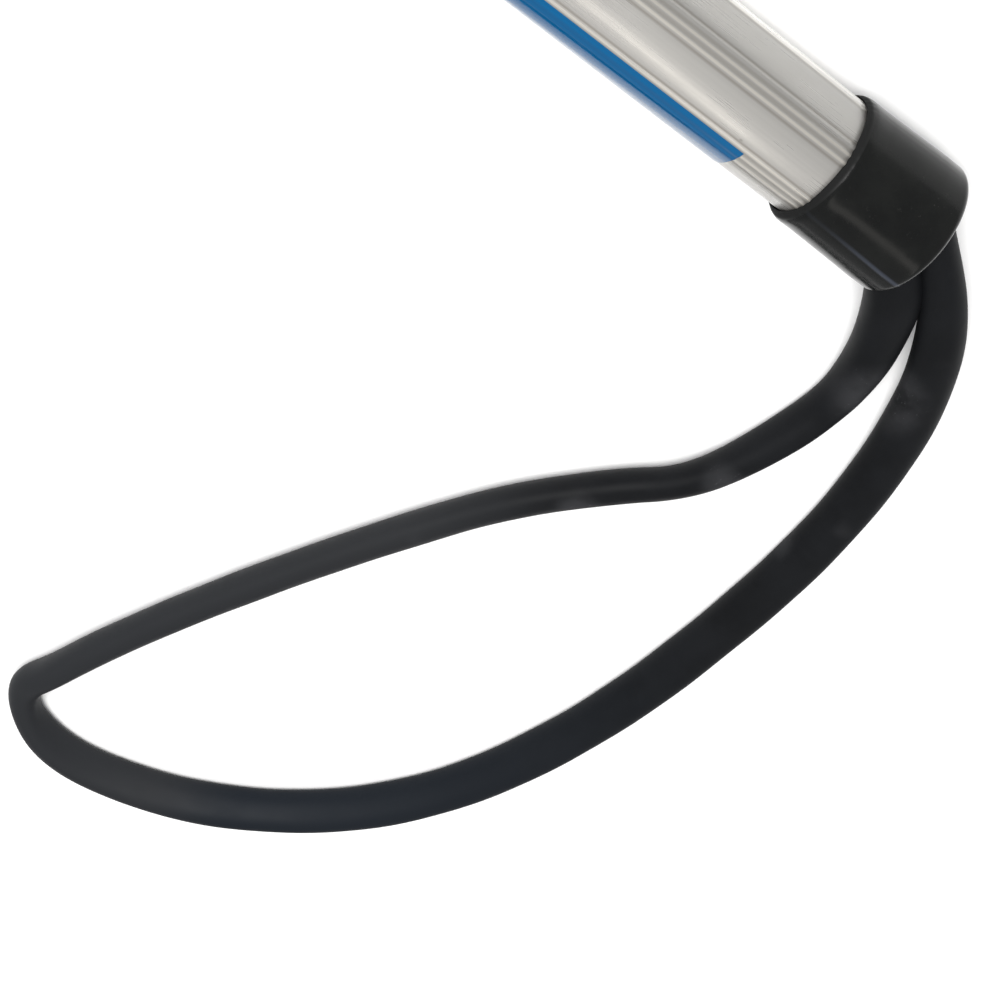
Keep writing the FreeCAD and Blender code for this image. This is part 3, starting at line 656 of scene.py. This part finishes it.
def paint(piece, material):
    """Gives the piece this material in every slot, and leaves its mesh's own list alone."""
    if not piece.material_slots:
        piece.data.materials.append(material)
    for place in piece.material_slots:
        place.link = "OBJECT"
        place.material = material


def soften(piece, width, segments=2):
    """Small rounded edges on a hard moulded or machined piece."""
    bevel = piece.modifiers.new("edges", "BEVEL")
    bevel.width = width
    bevel.segments = segments
    bevel.limit_method = "ANGLE"
    bevel.angle_limit = math.radians(40)
    bevel.harden_normals = True


# Surroundings ----------------------------------------------------------------------------

def make_floor():
    mesh = bpy.data.meshes.new("floor")
    corners = [(x * FLOOR_HALF, y * FLOOR_HALF, 0) for x, y in ((-1, -1), (1, -1), (1, 1), (-1, 1))]
    mesh.from_pydata(corners, [], [(0, 1, 2, 3)])
    floor = link("floor", mesh, smooth=False)
    f = Finish("floor", Roughness=0.9, Specular_IOR_Level=0.1)
    cloud = f.range(f.noise(3, 2), 0.3, 0.7)
    f.set(Base_Color=f.mix(cloud, (0.90, 0.90, 0.90), (0.92, 0.92, 0.92)))
    paint(floor, f.material)


def area_light(name, place, aim, size, power, colour):
    data = bpy.data.lights.new(name, "AREA")
    data.shape = "RECTANGLE"
    data.size, data.size_y = size
    data.energy = power
    data.color = colour
    light = bpy.data.objects.new(name, data)
    bpy.context.collection.objects.link(light)
    light.location = place
    light.rotation_euler = (Vector(aim) - Vector(place)).to_track_quat("-Z", "Y").to_euler()


def make_light():
    """Soft studio: a nearly even sky, a large box above the camera's side, and a long dim strip
    beyond the cap."""
    world = bpy.data.worlds.new("studio")
    world.use_nodes = True
    tree = world.node_tree
    where = tree.nodes.new("ShaderNodeTexCoord")
    split = tree.nodes.new("ShaderNodeSeparateXYZ")
    level = tree.nodes.new("ShaderNodeMapRange")
    background = tree.nodes["Background"]
    horizon, overhead = SKY
    for name, value in {"From Min": 0.0, "From Max": 0.7, "To Min": horizon,
                        "To Max": overhead}.items():
        level.inputs[name].default_value = value
    tree.links.new(where.outputs["Generated"], split.inputs[0])
    tree.links.new(split.outputs["Z"], level.inputs["Value"])
    tree.links.new(level.outputs["Result"], background.inputs["Strength"])
    background.inputs["Color"].default_value = SKY_COLOUR
    bpy.context.scene.world = world
    for name, (place, size, power, colour) in LIGHTS.items():
        area_light(name, from_cap(place), from_cap(LIGHTS_AIM), size, power, colour)


def main():
    make_camera()
    strap = make_strap()
    handle, film, cap = make_handle(), make_stripe(), make_cap()
    plain_tubes = [plain_tube(*row) for row in PLAIN_TUBES]

    paint(strap, black_rubber())
    paint(handle, ribbed_aluminium())
    paint(film, blue_film())
    paint(cap, black_vinyl())
    drawn = drawn_aluminium()
    for tube in plain_tubes:
        paint(tube, drawn)

    looks = {
        "nylon": moulded("nylon", (0.66, 0.64, 0.58), (0.74, 0.72, 0.66), 0.42),
        "black_plastic": moulded("black_plastic", (0.010, 0.010, 0.011), (0.017, 0.017, 0.018),
                                 0.48),
        "cup_plastic": moulded("cup_plastic", (0.012, 0.012, 0.013), (0.020, 0.020, 0.021),
                               0.36, coat=0.1),
        "gate_plastic": moulded("gate_plastic", (0.60, 0.105, 0.012), (0.72, 0.145, 0.020),
                                0.36, coat=0.15),
        "zinc_steel": worked_steel("zinc_steel", (0.40, 0.41, 0.42), (0.54, 0.545, 0.54), 0.30),
        "stainless": worked_steel("stainless", (0.46, 0.455, 0.45), (0.58, 0.575, 0.56), 0.22),
        "spring_steel": worked_steel("spring_steel", (0.34, 0.34, 0.35), (0.48, 0.48, 0.49),
                                     0.32),
    }
    for part in frame["record"]["subparts"]:
        slot = part["material_slot"]
        if slot not in looks:       # a node that a piece above stands for
            continue
        piece = frame["nodes"][part["node"]]
        paint(piece, looks[slot])
        if slot in SOFT_EDGES:
            soften(piece, SOFT_EDGES[slot])
    make_floor()
    make_light()
    bpy.context.scene.view_settings.view_transform = "Standard"


main()
